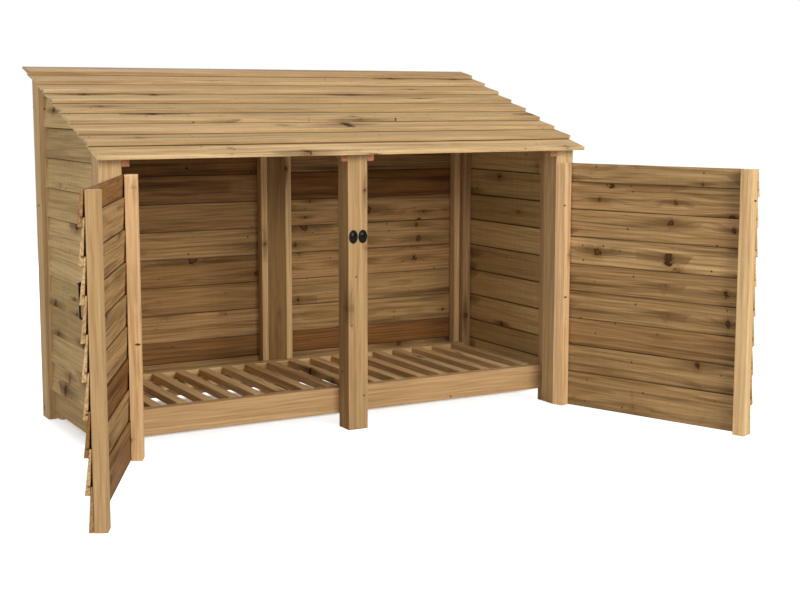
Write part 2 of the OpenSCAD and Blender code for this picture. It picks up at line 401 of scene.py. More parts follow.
    def clear_wood(self) -> Node:
        """Colours the wood between its knots.

        Returns:
            The colour node.
        """
        add, wood = self.add, self.wood
        band = add("MapRange", [self.streaks, 0.36, 0.66], **SMOOTH)
        ringed = add("Math", [self.rings, wood.ring_depth], operation="MULTIPLY")
        dark = add("Math", [band, 0.42, ringed], operation="MULTIPLY_ADD", use_clamp=True)
        clear = add("Mix", {0: dark, MIX_A: wood.early, MIX_B: wood.late}, data_type="RGBA")
        lean = add("Mix", {0: self.warmth, MIX_A: wood.cool, MIX_B: wood.warm}, data_type="RGBA")
        tinted = add("Mix", {0: 0.36, MIX_A: clear, MIX_B: lean}, data_type="RGBA")
        soaked = add("MapRange", [self.drawn_out(1.1, 34.0, 4.0), 0.47, 0.72, 0.0, wood.soak], **SMOOTH)
        stained = add("Mix", {0: soaked, MIX_A: tinted, MIX_B: wood.stain}, data_type="RGBA")
        # A timber's lightness: low values lean to the deep colour, which on the rear boards and the rear centre
        # post is painted shade.
        light = add("Mix", {0: self.light, MIX_A: wood.deep, MIX_B: grey(1.12)}, data_type="RGBA")
        lit = add("VectorMath", [stained, light], operation="MULTIPLY")
        teeth = self.drawn_out(1 / wood.saw_pitch, 5.0, 2.0)
        for lines, depth in ((self.fibres, wood.fibre_depth), (teeth, 0.13 * wood.saw_depth)):
            level = add("MapRange", [lines, *NOISE, 1 - depth, 1 + depth])
            lit = add("VectorMath", {0: lit, "Scale": level}, operation="SCALE")
        return lit

    def knotted(self, colour: Node) -> Node:
        """Adds the knots, and the darker wood round them, to the clear wood's colour.

        Args:
            colour: The clear wood's colour.

        Returns:
            The colour node.
        """
        add, wood, knots = self.add, self.wood, self.knots
        trailed = add("Mix", {0: knots.trail, MIX_A: colour, MIX_B: wood.stain}, data_type="RGBA")
        sound = add("MapRange", [knots.kind, 0.1, 0.35])
        heart = add("Mix", {0: sound, MIX_A: wood.resin, MIX_B: wood.knot}, data_type="RGBA")
        swell = add("MapRange", [knots.ratio, 2.6, 0.8, 0.0, 0.6], interpolation_type="SMOOTHERSTEP")
        swell = add("Math", [swell, knots.present], operation="MULTIPLY")
        around = add("Mix", {0: swell, MIX_A: trailed, MIX_B: wood.flare}, data_type="RGBA")
        bark = add("ValToRGB", [knots.ratio], stops=[(0.0, 0.7), (0.35, 0.15), (0.6, 0.3), (0.85, 0.85)])
        barked = add("Mix", {0: bark, MIX_A: heart, MIX_B: wood.rim}, data_type="RGBA")
        spotted = add("Mix", {0: knots.core, MIX_A: around, MIX_B: barked}, data_type="RGBA")
        return add("Mix", {0: self.pin_knots(), MIX_A: spotted, MIX_B: wood.knot}, data_type="RGBA")

    def soiled(self, colour: Node) -> Node:
        """Darkens the wood next to each lap: painted shade under the next board's butt and above the board below.

        Args:
            colour: The wood's colour.

        Returns:
            The colour node. A mesh's "lap" holds the distance past the butt of the board above,
            the distance past the top of the board below, and 0 at the back and 1 at the face.
        """
        add, wood = self.add, self.wood
        lap = add("Attribute", attribute_name="lap").outputs["Vector"]
        *ways, through = add("SeparateXYZ", [lap]).outputs
        lines = []
        for way in ways:
            away = add("Math", [way], operation="ABSOLUTE")
            lines.append(add("MapRange", [away, wood.lap_width, 0.2 * wood.lap_width, 0.0, wood.lap_soil]))
        face = add("Math", [through, 0.5], operation="GREATER_THAN")
        # The painted shade of the laps: on the face it lies under the next butt, on the back above the board
        # below.
        painted_lap_shade = add("Mix", {0: face, 2: lines[1], 3: lines[0]})
        return add("Mix", {0: painted_lap_shade, MIX_A: colour, MIX_B: wood.rim}, data_type="RGBA")

    def relief(self) -> Node:
        """Raises the summer wood, fibres and knots, and marks the saw's teeth across the grain.

        Returns:
            The node of the height.
        """
        teeth = self.drawn_out(1 / self.wood.saw_pitch, 9.0, 1.0)
        height = self.add("Math", [teeth, self.wood.saw_depth], operation="MULTIPLY")
        for layer, rise in ((self.fibres, 0.5), (self.rings, 0.3), (self.knots.core, 0.6)):
            height = self.add("Math", [layer, rise, height], operation="MULTIPLY_ADD")
        return height


@dataclass(frozen=True)
class JapannedIron(Finish):
    """Pressed and forged iron, black japanned: a dark lacquer, uneven over the forge marks."""

    lacquer: str = "#040404"
    worn: str = "#11100f"  # where the lacquer is thin
    hammer: float = 7 * MM  # spacing of the forge marks

    def shade(self, add: Adder) -> Node:
        """Builds the lacquer over forge marks, thinner on their crests.

        Args:
            add: Adds a node to this finish's tree.

        Returns:
            The shader node.
        """
        place = add("TexCoord").outputs["Object"]
        marks = add("TexNoise", {"Vector": place, "Scale": 1 / self.hammer, "Detail": 3.0})
        thin = add("MapRange", [marks, 0.52, 0.72])
        return add("BsdfPrincipled", {
            "Base Color": add("Mix", {0: thin, MIX_A: self.lacquer, MIX_B: self.worn}, data_type="RGBA"),
            "Roughness": add("MapRange", [marks, *NOISE, 0.22, 0.36]),
            "Normal": add("Bump", {"Strength": 0.2, "Distance": 0.4 * MM, "Height": marks}),
            "Specular IOR Level": 0.2,
        })


@dataclass(frozen=True)
class GalvanisedSteel(Finish):
    """Hot-dipped nail heads, dulled by the first weather."""

    zinc: str = "#7d7a73"
    rust: str = "#6a4a30"
    patch: float = 30 * MM  # spacing of the rusty patches

    def shade(self, add: Adder) -> Node:
        """Builds dull zinc with a trace of rust.

        Args:
            add: Adds a node to this finish's tree.

        Returns:
            The shader node.
        """
        place = add("TexCoord").outputs["Object"]
        bloom = add("TexNoise", {"Vector": place, "Scale": 1 / self.patch, "Detail": 2.0})
        return add("BsdfPrincipled", {
            "Base Color": add("Mix", {0: bloom, MIX_A: self.zinc, MIX_B: self.rust}, data_type="RGBA"),
            "Roughness": add("MapRange", [bloom, 0.0, 1.0, 0.4, 0.65]),
            "Metallic": 0.7,
        })


def seen_by_eye(add: Adder) -> Node:
    """1 for light that goes straight to the eye, or through a glass, and 0 for the rest."""
    path = add("LightPath").outputs
    return add("Math", [path["Is Camera Ray"], path["Is Transmission Ray"]], operation="MAXIMUM")


@dataclass(frozen=True)
class PaperFloor(Finish):
    """Matt white studio paper that keeps the store's shadow and runs into a white background; under the store a
    box of it gets no lift and stays darker, a painted shadow.
    """

    paper: str = "#e9e9e7"
    lift: float = 0.85  # light that only the eye sees
    shade_centre: Place = (0.0, 0.48, 0.0)  # middle of the painted shadow, on the floor under the deck
    shade_reach: Place = (0.93, 0.28, 1.0)  # and half of its size

    def shade(self, add: Adder) -> Node:
        """Builds matt paper, lifted to white for the eye without lighting the store.

        Args:
            add: Adds a node to this finish's tree.

        Returns:
            The shader node.
        """
        matt = add("BsdfDiffuse", {"Color": self.paper})
        power = add("Math", [seen_by_eye(add), self.lift], operation="MULTIPLY")
        # The lift is taken away in the painted shadow box under the store.
        power = add("Math", [power, self.open_floor(add)], operation="MULTIPLY")
        return add("AddShader", [matt, add("Emission", {"Color": grey(1.0), "Strength": power})])

    def open_floor(self, add: Adder) -> Node:
        """From 0 under the store, where the paper shows between the slats, to 1 outside it: the unlifted box under
        the store is a painted shadow.

        Args:
            add: Adds a node to this finish's tree.

        Returns:
            The node of that share.
        """
        place = add("TexCoord").outputs["Object"]
        away = add("VectorMath", [place, self.shade_centre], operation="SUBTRACT")
        share = add("VectorMath", [away, self.shade_reach], operation="DIVIDE")
        x, y, _ = add("SeparateXYZ", [add("VectorMath", [share], operation="ABSOLUTE")]).outputs
        return add("MapRange", [add("Math", [x, y], operation="MAXIMUM"), 0.85, 1.0])


# Posts, rails, battens and slats: pine, planed on four sides and then pressure treated, which
# leaves it smooth, honey coloured and with eased arrises.
PLANED_PINE = Softwood(
    "planed_treated_pine", early="#dcc093", late="#a87d4d", warm="#c99a70", cool="#b5a06c", deep="#a8977a",
    saw_depth=0.05, soak=0.25, ring_depth=0.34, fibre_depth=0.16, gloss=0.3, knot_length=200 * MM,
    knot_share=0.3, knot_large=10 * MM, lap_soil=0.0,
)
# Cladding: pine resawn on the slant into feather-edge boards, so its faces keep the saw's marks.
SAWN_PINE = Softwood("sawn_treated_pine")
# Boards of the sides: the same, from outer sapwood, which is straw coloured and has few knots.
SAPWOOD = Softwood(
    "sawn_treated_sapwood", early="#d6bd8a", late="#9d7d50", deep="#a08450", ring_depth=0.24, soak=0.25,
    fibre_depth=0.15, knot_share=0.3, saw_depth=0.5, lap_width=7 * MM, lap_soil=0.85,
)
# Roof boards: sapwood again, with the painted shade reaching further out of the laps.
ROOF_PINE = replace(
    SAPWOOD, name="sawn_roof_pine", early="#dabf94", cool="#b59c6f", lap_width=14 * MM, lap_soil=0.8,
    saw_depth=0.2, soak=0.4, ring_depth=0.35,
)
# Cross-cut ends: trimmed after treatment, so pinkish raw wood shows with its rings.
PINE_END = Softwood(
    "cross_cut_pine", early="#e6d0a2", late="#b08a55", cool="#dfcb9c", warm="#dfb98c",
    ring_depth=0.7, saw_depth=0.7, soak=0.2, knot_share=0.0,
)
# Rafter ends: cut from the heart of the tree, which is pinker.
HEART_END = replace(
    PINE_END, name="cross_cut_heartwood", early="#d2976f", late="#b06f4c", cool="#cf9a72", warm="#d08c6e"
)
# Hinges and hooks: pressed and forged iron, dipped in black japan and baked.
IRON = JapannedIron("black_japanned_iron")
# Nails: drawn steel wire, headed and then dipped in zinc.
NAIL = GalvanisedSteel("galvanised_nail_steel")
# Floor of the studio: a roll of matt paper.
PAPER = PaperFloor("studio_paper")


# ---------------------------------------------------------------- axes and places


def axes(along: Vector, across: Vector, origin: Vector | None = None) -> Matrix:
    """Right-handed axes for a timber.

    Args:
        along: The direction of its length.
        across: The direction of its width.
        origin: Where its own zero lies.

    Returns:
        The matrix from the timber's own coordinates to those that along and across are in.
    """
    columns = [along.normalized(), across.normalized(), along.cross(across).normalized()]
    turn = Matrix(columns).transposed().to_4x4()
    return shift(origin or Vector()) @ turn


def local_box(node: str, place: Matrix) -> Box:
    """Lowest and highest corner of a CAD node along other axes.

    Args:
        node: The node's name.
        place: The axes, as a matrix into the store's frame.

    Returns:
        The two corners in those axes.
    """
    inverse = place.inverted()
    points = [inverse @ vertex.co for vertex in frame["nodes"][node].data.vertices]
    low = Vector([min(p[i] for p in points) for i in range(3)])
    high = Vector([max(p[i] for p in points) for i in range(3)])
    return low, high


def body_of(node: str) -> str:
    """The name of the body that a CAD node moves with."""
    bodies = frame["record"]["behaviour"]["bodies"]
    return next(body for body, nodes in bodies.items() if node in nodes)


@dataclass(frozen=True)
class Cut:
    """A saw cut: a plane in the store's frame, with its normal towards the waste."""

    point: Vector
    normal: Vector


def roof_plane() -> Cut:
    """The plane under the roof boards, through the tops of the front and rear posts.

    Returns:
        The cut that trims a post's top.
    """
    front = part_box("centre_front_post")[1]
    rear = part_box("centre_rear_post")[1]
    rise = rear - front
    up_slope = Vector((0, rise.y, rise.z))
    return Cut(front, RIGHT.cross(up_slope).normalized())


# ---------------------------------------------------------------- meshes


def whole(mesh: BMesh) -> list:
    """All of a mesh, for an operator that takes its parts."""
    return mesh.verts[:] + mesh.edges[:] + mesh.faces[:]


def fill_holes(mesh: BMesh) -> None:
    """Fills each open hole of a mesh."""
    bmesh.ops.holes_fill(mesh, edges=[e for e in mesh.edges if e.is_boundary], sides=0)


def round_off(mesh: BMesh, radius: float, angle: float, segments: int = 2) -> None:
    """Rounds the sharp edges of a mesh.

    Args:
        mesh: The mesh.
        radius: How much is rounded off.
        angle: The bend, in degrees, from which an edge is sharp.
        segments: How many faces make the round.
    """
    sharp = [e for e in mesh.edges if e.calc_face_angle(0) > math.radians(angle)]
    bmesh.ops.bevel(
        mesh, geom=sharp, offset=radius, offset_type="OFFSET", segments=segments, profile=0.5,
        affect="EDGES", material=-1, clamp_overlap=True,
    )


def join(part: BMesh, work: BMesh) -> None:
    """Moves a finished part into the work.

    Args:
        part: The part, which is used up.
        work: The mesh that gets it.
    """
    carrier = bpy.data.meshes.new("part")
    part.to_mesh(carrier)
    part.free()
    work.from_mesh(carrier)
    bpy.data.meshes.remove(carrier)


def hand_over(
    mesh: BMesh, node: str, kind: str, slot: Slot, finishes: Sequence[Finish], stands: bool = True
) -> Piece:
    """Turns a finished mesh into a piece of the store.

    Args:
        mesh: The finished mesh, in the store's frame.
        node: The CAD node that it stands for or is fixed to.
        kind: What it is, which ends its name.
        slot: The record's slot that its finish stands for; not used.
        finishes: Its finishes, in the order of its material numbers.
        stands: Whether it stands for the node.

    Returns:
        The piece.
    """
    name = f"{node}_{kind}"
    data = bpy.data.meshes.new(name)
    mesh.to_mesh(data)
    mesh.free()
    for finish in finishes:
        data.materials.append(finish.material())
    piece = bpy.data.objects.new(name, data)
    bpy.context.scene.collection.objects.link(piece)
    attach(piece, body_of(node))
    if stands:
        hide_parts(node)
    return piece


# ---------------------------------------------------------------- timber


ACROSS = 0.9  # how square to the grain a face lies that counts as a cross-cut end
WAVES = 2.7  # noise of a timber's faces: features a metre along it
APART = 3.1  # and how far apart its two directions lie in that noise


@dataclass(frozen=True)
class Stock:
    """Square-edged timber as the mill sends it."""

    arris: float  # rounding of its edges
    wander: float = 0.4 * MM  # how far its faces fall short of true
    pith_near: float = 25 * MM  # nearest and furthest that the tree's pith lies
    pith_far: float = 110 * MM
    lean: float = 0.012  # most that its length slopes to the pith
    new_log: float = 0.4  # how often the next timber comes from another log
    stagger: float = 12 * MM  # how far timbers of one log lie out of line
    knottiness: float = 0.5
    knot_scatter: float = 0.25  # how unlike in knots its timbers are
    station: float = 90 * MM  # spacing of the sections along it
    segments: int = 2
    light: Span = (0.35, 0.9)  # range that its lightness is drawn from
    warm: Span = (0.1, 0.8)

    def section(self, low: Vector, high: Vector, across: float, through: float) -> Pair:
        """Place of a point of the section, given as shares of its width and thickness."""
        return low.y + across * (high.y - low.y), low.z + through * (high.z - low.z)

    def lap(self, up: float, through: float) -> Place:
        """What a point's "lap" holds: timber that isn't lapped has no lap near."""
        return 1.0, 1.0, through

    def side_of(self, point: Vector, box: Box) -> float:
        """From 0 at the back of the section to 1 at its face."""
        return 0.0


@dataclass(frozen=True)
class FeatherEdge(Stock):
    """A feather-edge board, thick at its butt and thin at its upper edge."""

    width: float = 125 * MM
    butt: float = 14 * MM
    tip: float = 6 * MM
    rest: float = 0.0  # how far its butt stands off the battens, on the board below
    above: float = 1.0  # height of the next board's butt above this one's
    below: float = -1.0  # height of the last board's top above this one's butt

    def at(self, up: float) -> Pair:
        """How far its back stands off at a height above its butt, and its thickness there."""
        back = self.rest * (1 - up / self.width)
        return back, self.butt - (self.butt - self.tip) * up / self.width

    def section(self, low: Vector, high: Vector, across: float, through: float) -> Pair:
        """Place of a point of the leaning, tapering section."""
        back, thickness = self.at(across * (high.y - low.y))
        return low.y + across * (high.y - low.y), low.z + back + through * thickness

    def lap(self, up: float, through: float) -> Place:
        """What a point's "lap" holds, from its height above the butt and its place in the thickness."""
        return up - self.above, up - self.below, through

    def side_of(self, point: Vector, box: Box) -> float:
        """From 0 at the back of the leaning section to 1 at its face."""
        back, thickness = self.at(point.y - box[0].y)
        return (point.z - box[0].z - back) / thickness


class TimberStack:
    """The timbers of one piece, each shaped on its own axes and then joined into one mesh."""

    def __init__(self, node: str) -> None:
        """Starts an empty stack for a CAD node, whose name also seeds the choice of timber.

        Args:
            node: The CAD node.
        """
        self.node = node
        self.mesh = bmesh.new()
        self.random = random.Random(f"{node}_timber")
        self.log = 0.0

    def add(self, stock: Stock, box: Box, place: Matrix, cuts: Sequence[Cut] = ()) -> None:
        """Shapes one timber and adds it to the stack.

        Args:
            stock: What the timber is sawn from.
            box: Its lowest and highest corner in its own axes.
            place: Its own axes, as a matrix into the store's frame.
            cuts: Saw cuts to trim it with.
        """
        timber = bmesh.new()
        bmesh.ops.create_cube(timber, size=1.0)
        bmesh.ops.translate(timber, vec=(0.5, 0.5, 0.5), verts=timber.verts)
        self.section_off(timber, max(2, round((box[1].x - box[0].x) / stock.station)))
        self.shape(timber, stock, box)
        self.trim(timber, place.inverted(), cuts)
        round_off(timber, stock.arris, 30, stock.segments)
        bmesh.ops.recalc_face_normals(timber, faces=timber.faces)
        self.grow(timber, stock, box)
        bmesh.ops.transform(timber, matrix=place, verts=timber.verts)
        join(timber, self.mesh)

    @staticmethod
    def section_off(timber: BMesh, sections: int) -> None:
        """Cuts a unit block into sections along x without parting it.

        Args:
            timber: The block.
            sections: How many.
        """
        for k in range(1, sections):
            bmesh.ops.bisect_plane(
                timber, geom=whole(timber), dist=NEAR, plane_co=(k / sections, 0, 0), plane_no=RIGHT
            )

    def shape(self, timber: BMesh, stock: Stock, box: Box) -> None:
        """Gives a unit block the stock's section, with faces that wander a little inwards.

        Args:
            timber: The block.
            stock: What the timber is sawn from.
            box: Its lowest and highest corner in its own axes.
        """
        low, high = box
        seed = self.random.uniform(0, 100)
        for vertex in timber.verts:
            along, across, through = vertex.co
            x = low.x + along * (high.x - low.x)
            y, z = stock.section(low, high, across, through)
            sway = [0.5 + 0.5 * noise.noise(Vector((WAVES * x, seed, APART * k))) for k in range(2)]
            y += stock.wander * sway[0] * (1 - 2 * across)
            z += stock.wander * sway[1] * (1 - 2 * through)
            vertex.co = (x, y, z)

    @staticmethod
    def trim(timber: BMesh, inverse: Matrix, cuts: Sequence[Cut]) -> None:
        """Saws the waste off and closes each cut face.

        Args:
            timber: The timber.
            inverse: The matrix into its own axes.
            cuts: The saw cuts.
        """
        for cut in cuts:
            bmesh.ops.bisect_plane(
                timber, geom=whole(timber), dist=NEAR, plane_co=inverse @ cut.point,
                plane_no=inverse.to_3x3() @ cut.normal, clear_outer=True,
            )
            fill_holes(timber)

    def grow(self, timber: BMesh, stock: Stock, box: Box) -> None:
        """Writes where the timber lay in its tree and marks its cross-cut ends.

        Args:
            timber: The timber.
            stock: What the timber is sawn from.
            box: Its lowest and highest corner in its own axes.
        """
        grain = timber.verts.layers.float_vector.new("grain")
        tone = timber.verts.layers.float_vector.new("tone")
        lap = timber.verts.layers.float_vector.new("lap")
        middle = (box[0] + box[1]) / 2
        turn = self.random.uniform(0, 2 * math.pi)
        reach = self.random.uniform(stock.pith_near, stock.pith_far)
        pith = Vector((0, reach * math.cos(turn), reach * math.sin(turn)))
        lean = [self.random.uniform(-stock.lean, stock.lean) for _ in range(2)]
        # Neighbours often come from one log, with their whorls of knots in line.
        if not self.log or self.random.random() < stock.new_log:
            self.log = self.random.uniform(1, 40)
        start = self.log + self.random.gauss(0, stock.stagger)
        knotty = min(1.0, max(0.0, self.random.gauss(stock.knottiness, stock.knot_scatter)))
        light, warm = (self.random.uniform(*span) for span in (stock.light, stock.warm))
        for vertex in timber.verts:
            away = vertex.co - middle
            vertex[grain] = (
                away.x + start, away.y - pith.y + lean[0] * away.x, away.z - pith.z + lean[1] * away.x
            )
            vertex[tone] = (light, warm, knotty)
            vertex[lap] = stock.lap(vertex.co.y - box[0].y, stock.side_of(vertex.co, box))
        for face in timber.faces:
            face.material_index = int(abs(face.normal.x) > ACROSS)

    def hand_over(self, slot: Slot, face: Softwood, end: Softwood) -> Piece:
        """Turns the stack into the piece that stands for its CAD node."""
        return hand_over(self.mesh, self.node, "timber", slot, (face, end))


def tinted(stock: Stock, tint: Tint) -> Stock:
    """The same stock, picked for one lightness and warmth."""
    light, warm = tint.value
    return replace(stock, light=(light, light), warm=(warm, warm))


def timber_piece(
    node: str,
    stock: Stock,
    along: Vector,
    across: Vector,
    cuts: Sequence[Cut] = (),
    base: Matrix | None = None,
    end: Softwood = PINE_END,
) -> Piece:
    """Makes the timber that stands for one CAD node and fills that node's box.

    Args:
        node: The CAD node.
        stock: What the timber is sawn from.
        along: The direction of its length, in the base's axes.
        across: The direction of its width, in the base's axes.
        cuts: Saw cuts to trim it with.
        base: The axes of the sub-assembly, or none for the store's own.
        end: The finish of its cross-cut ends.

    Returns:
        The piece.
    """
    place = (base or Matrix()) @ axes(along, across)
    stack = TimberStack(node)
    stack.add(stock, local_box(node, place), place, cuts)
    return stack.hand_over(Slot.TIMBER, PLANED_PINE, end)


# ---------------------------------------------------------------- nails


@dataclass(frozen=True)
class Nail:
    """A round lost head, driven flush."""

    head: float = 2.6 * MM
    crown: float = 0.7  # radius of its flat top, as a share of the head's
    proud: float = 0.5 * MM
    sides: int = 8

    def drive(self, mesh: BMesh, point: Vector, outward: Vector) -> None:
        """Adds one head.

        Args:
            mesh: The mesh that gets the head.
            point: Where it meets the timber.
            outward: The way that it faces.
        """
        turn = outward.to_track_quat("Z", "Y").to_matrix().to_4x4()
        bmesh.ops.create_cone(
            mesh, cap_ends=True, segments=self.sides, radius1=self.head, radius2=self.crown * self.head,
            depth=2 * self.proud, matrix=shift(point) @ turn,
        )


# ---------------------------------------------------------------- cladding


@dataclass
class Cladding:
    """Lapped feather-edge boards that stand for one CAD node.

    The wall's axes run along the boards, up the wall and outwards.
    """

    node: str
    along: Vector
    up: Vector
    exposure: float = 103.5 * MM
    first: float = 80 * MM
    short: Pair = (0.0, 0.0)  # how far the low and the high end may fall short
    cuts: Sequence[Cut] = ()
    base: Matrix = field(default_factory=Matrix)
    nail_inset: float = 12 * MM  # of the outer rows of nails, from the ends
    nail_rows: Sequence[float] = ()  # distance of each row from the low end, or none for two outer rows
    nail_height: float = 32 * MM  # of a nail above its board's butt
    nail_clear: float = 6 * MM  # least from a nail to a sawn edge
    nail_stray: float = 4  # most that a nail strays, in millimetres
    light: Span = (0.5, 0.95)
    warm: Span = (0.1, 0.7)
    knottiness: float = 0.55
    finish: Softwood = SAWN_PINE
    board: FeatherEdge = FeatherEdge(arris=0.9 * MM, wander=0.9 * MM, pith_near=30 * MM, pith_far=120 * MM)
    nail: Nail = Nail()

    def __post_init__(self) -> None:
        """Reads the wall's place and size from its CAD node."""
        self.place = self.base @ axes(self.along, self.up)
        self.low, self.high = local_box(self.node, self.place)
        if not self.nail_rows:
            self.nail_rows = (self.nail_inset, self.high.x - self.low.x - self.nail_inset)

    def seat(self, exposure: float) -> float:
        """Thickness of a board where the next butt rests on it."""
        return self.board.butt - exposure * (self.board.butt - self.board.tip) / self.board.width

    def fall(self) -> float:
        """Slope of the boards' faces, from their lean and their taper."""
        taper = (self.board.butt - self.board.tip) / self.board.width
        return self.seat(self.exposure) / self.board.width + taper

    def starts(self) -> list[float]:
        """Height of each butt above the lowest one."""
        count = math.ceil((self.high.y - self.low.y - self.first) / self.exposure - NEAR)
        return [0.0] + [self.first + i * self.exposure for i in range(count)]

    def build(self) -> list[Piece]:
        """Builds the boards and their nails.

        Returns:
            The two pieces.
        """
        stack = TimberStack(self.node)
        nails = bmesh.new()
        starts = self.starts()
        for i, start in enumerate(starts):
            rest = self.seat(start - starts[i - 1]) if i else 0.0
            board = replace(
                self.board, rest=rest, light=self.light, warm=self.warm, knottiness=self.knottiness,
                above=(starts[i + 1] if i + 1 < len(starts) else start + 1) - start,
                below=starts[i - 1] + self.board.width - start if i else -1.0,
            )
            low = self.low + Vector((stack.random.uniform(0, self.short[0]), start, 0))
            width = min(board.width, self.high.y - low.y)
            high = Vector((self.high.x - stack.random.uniform(0, self.short[1]), low.y + width, self.low.z))
            stack.add(board, (low, high), self.place, self.cuts)
            self.nail_down(nails, board, low, stack.random)
        boards = stack.hand_over(Slot.BOARDS, self.finish, PINE_END)
        return [boards, hand_over(nails, self.node, "nails", Slot.IRON, (NAIL,), stands=False)]

    def nail_down(self, nails: BMesh, board: FeatherEdge, low: Vector, chance: random.Random) -> None:
        """Drives one nail a batten through a board, a little above the butt.

        Args:
            nails: The mesh of the wall's nails.
            board: The board.
            low: Its lowest corner.
            chance: Where the joiner's hand varies.
        """
        fall = (board.rest + board.butt - board.tip) / board.width
        outward = (self.place.to_3x3() @ Vector((0, fall, 1))).normalized()
        for row in self.nail_rows:
            up, aside = (chance.uniform(-self.nail_stray, self.nail_stray) * MM for _ in range(2))
            y = self.nail_height + up
            x = self.low.x + row + aside
            face = board.rest + board.butt - fall * y - self.board.wander / 2
            point = self.place @ Vector((x, low.y + y, self.low.z + face))
            clear = all((point - cut.point).dot(cut.normal) < -self.nail_clear for cut in self.cuts)
            if clear and low.y + y < self.high.y - self.nail_clear:
                self.nail.drive(nails, point, outward)


# ---------------------------------------------------------------- the store


POST_STOCK = Stock(arris=2.4 * MM, wander=0.5 * MM, segments=3, knottiness=0.35)
RAIL_STOCK = replace(POST_STOCK, arris=2.2 * MM)
BATTEN_STOCK = Stock(arris=1.6 * MM, pith_near=15 * MM, knottiness=0.35)


@dataclass
class PostFrame:
    """The six posts, cut to the roof."""

    stock: Stock = POST_STOCK
    # The rear centre post gets the darkest tint: painted shade of the recess between the rear panels.
    tints: tuple[Tint, ...] = (Tint.HONEY, Tint.TAN, Tint.PALE, Tint.PALE, Tint.BROWN, Tint.TAN)

    def build(self) -> list[Piece]:
        """Builds each post in its own piece.

        Returns:
            The pieces.
        """
        cuts = [roof_plane()]
        names = [f"{place}_{row}_post" for row in ("front", "rear") for place in ("left", "centre", "right")]
        stocks = [tinted(self.stock, tint) for tint in self.tints]
        return [timber_piece(name, stock, UP, RIGHT, cuts) for name, stock in zip(names, stocks)]


@dataclass
class FloorDeck:
    """The floor: two rails, two ledgers and the slats across them."""

    slat: Stock = replace(BATTEN_STOCK, light=(0.9, 1.0))
    rail: Stock = RAIL_STOCK
    slat_width: float = 38 * MM
    slat_pitch: float = 92 * MM

    def build(self) -> list[Piece]:
        """Builds the rails, the ledgers and the two rows of slats.

        Returns:
            The pieces.
        """
        rails = ["front_floor_rail", "rear_floor_rail", "front_slat_ledger", "rear_slat_ledger"]
        pieces = [timber_piece(name, self.rail, RIGHT, UP) for name in rails]
        return pieces + [self.slats(side) for side in Side]

    def slats(self, side: Side) -> Piece:
        """Lays one row of slats.

        Args:
            side: The half of the floor.

        Returns:
            The piece.
        """
        node = f"{side.word}_floor_slats"
        place = axes(BACK, -RIGHT)
        low, high = local_box(node, place)
        stack = TimberStack(node)
        span = high.y - low.y - self.slat_width
        count = round(span / self.slat_pitch) + 1
        for k in range(count):
            start = low.y + k * span / (count - 1)
            box = (Vector((low.x, start, low.z)), Vector((high.x, start + self.slat_width, high.z)))
            stack.add(self.slat, box, place)
        return stack.hand_over(Slot.TIMBER, PLANED_PINE, PINE_END)


@dataclass
class SidePanel:
    """One side of the store: two upright battens and the boards on them."""

    side: Side
    batten: Stock = BATTEN_STOCK

    def build(self) -> list[Piece]:
        """Builds the battens and the boards.

        Returns:
            The pieces.
        """
        cuts = [roof_plane()]
        word = f"{self.side.word}_side"
        names = [f"{word}_{end}_batten" for end in ("front", "rear")]
        wall = Cladding(f"{word}_cladding", self.side.value * BACK, UP, cuts=cuts, finish=SAPWOOD)
        return [timber_piece(name, self.batten, UP, RIGHT, cuts) for name in names] + wall.build()


@dataclass
class RearPanel:
    """The back of one bay: two upright battens and the boards on them."""

    side: Side
    batten: Stock = tinted(BATTEN_STOCK, Tint.PALE)

    def build(self) -> list[Piece]:
        """Builds the battens and the boards.

        Returns:
            The pieces.
        """
        roof = roof_plane()
        word = f"rear_{self.side.word}"
        pieces = []
        for name in (f"{word}_outer_batten", f"{word}_inner_batten"):
            top = Cut(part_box(name)[1], roof.normal)
            pieces.append(timber_piece(name, self.batten, UP, RIGHT, [top]))
        # The rear boards are drawn darker and browner than the other boards: painted shade of the store's inside.
        wall = Cladding(f"{word}_cladding", -RIGHT, UP, cuts=[roof], light=(0.05, 0.5), knottiness=0.8)
        return pieces + wall.build()


@dataclass
class Roof:
    """The rafters beside the posts and the lapped boards across them."""

    rafter: Stock = replace(BATTEN_STOCK, knottiness=0.3)
    exposure: float = 102 * MM
    short: Pair = (1 * MM, 5 * MM)

    def build(self) -> list[Piece]:
        """Builds the rafters and the roof boards.

        Returns:
            The pieces.
        """
        slope = roof_plane().normal.cross(RIGHT)
        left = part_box("roof_boards")[0].x
        pieces = []
        rows = []
        for place in ("left", "centre_left", "centre_right", "right"):
            low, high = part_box(f"{place}_rafter")
            ends = [Cut(low, -BACK), Cut(high, BACK)]
            pieces.append(
                timber_piece(f"{place}_rafter", self.rafter, slope, roof_plane().normal, ends, end=HEART_END)
            )
            rows.append((low.x + high.x) / 2 - left)
        boards = Cladding(
            "roof_boards", RIGHT, slope, self.exposure, self.exposure, self.short, nail_rows=rows,
            knottiness=0.5, finish=ROOF_PINE,
        )
        return pieces + boards.build()


# ---------------------------------------------------------------- ironmongery


SCREW_RISE = 0.45  # height of a screw's head over its radius
SCREW_SLOT = 0.2  # half the width of its slot, and its depth, over that radius
SCREW_FLANK = 0.3  # height from which the slot is cut
BARREL_SIDES = 24
ROD_SIDES = 12
# How far each ring of a rose steps in, as a share of its half width, and how far it rises.
ROSE_STEPS = ((0.0, 0.55), (0.13, 0.35), (0.13, -0.4), (0.16, 0.3), (0.25, 0.35), (0.2, 0.1))


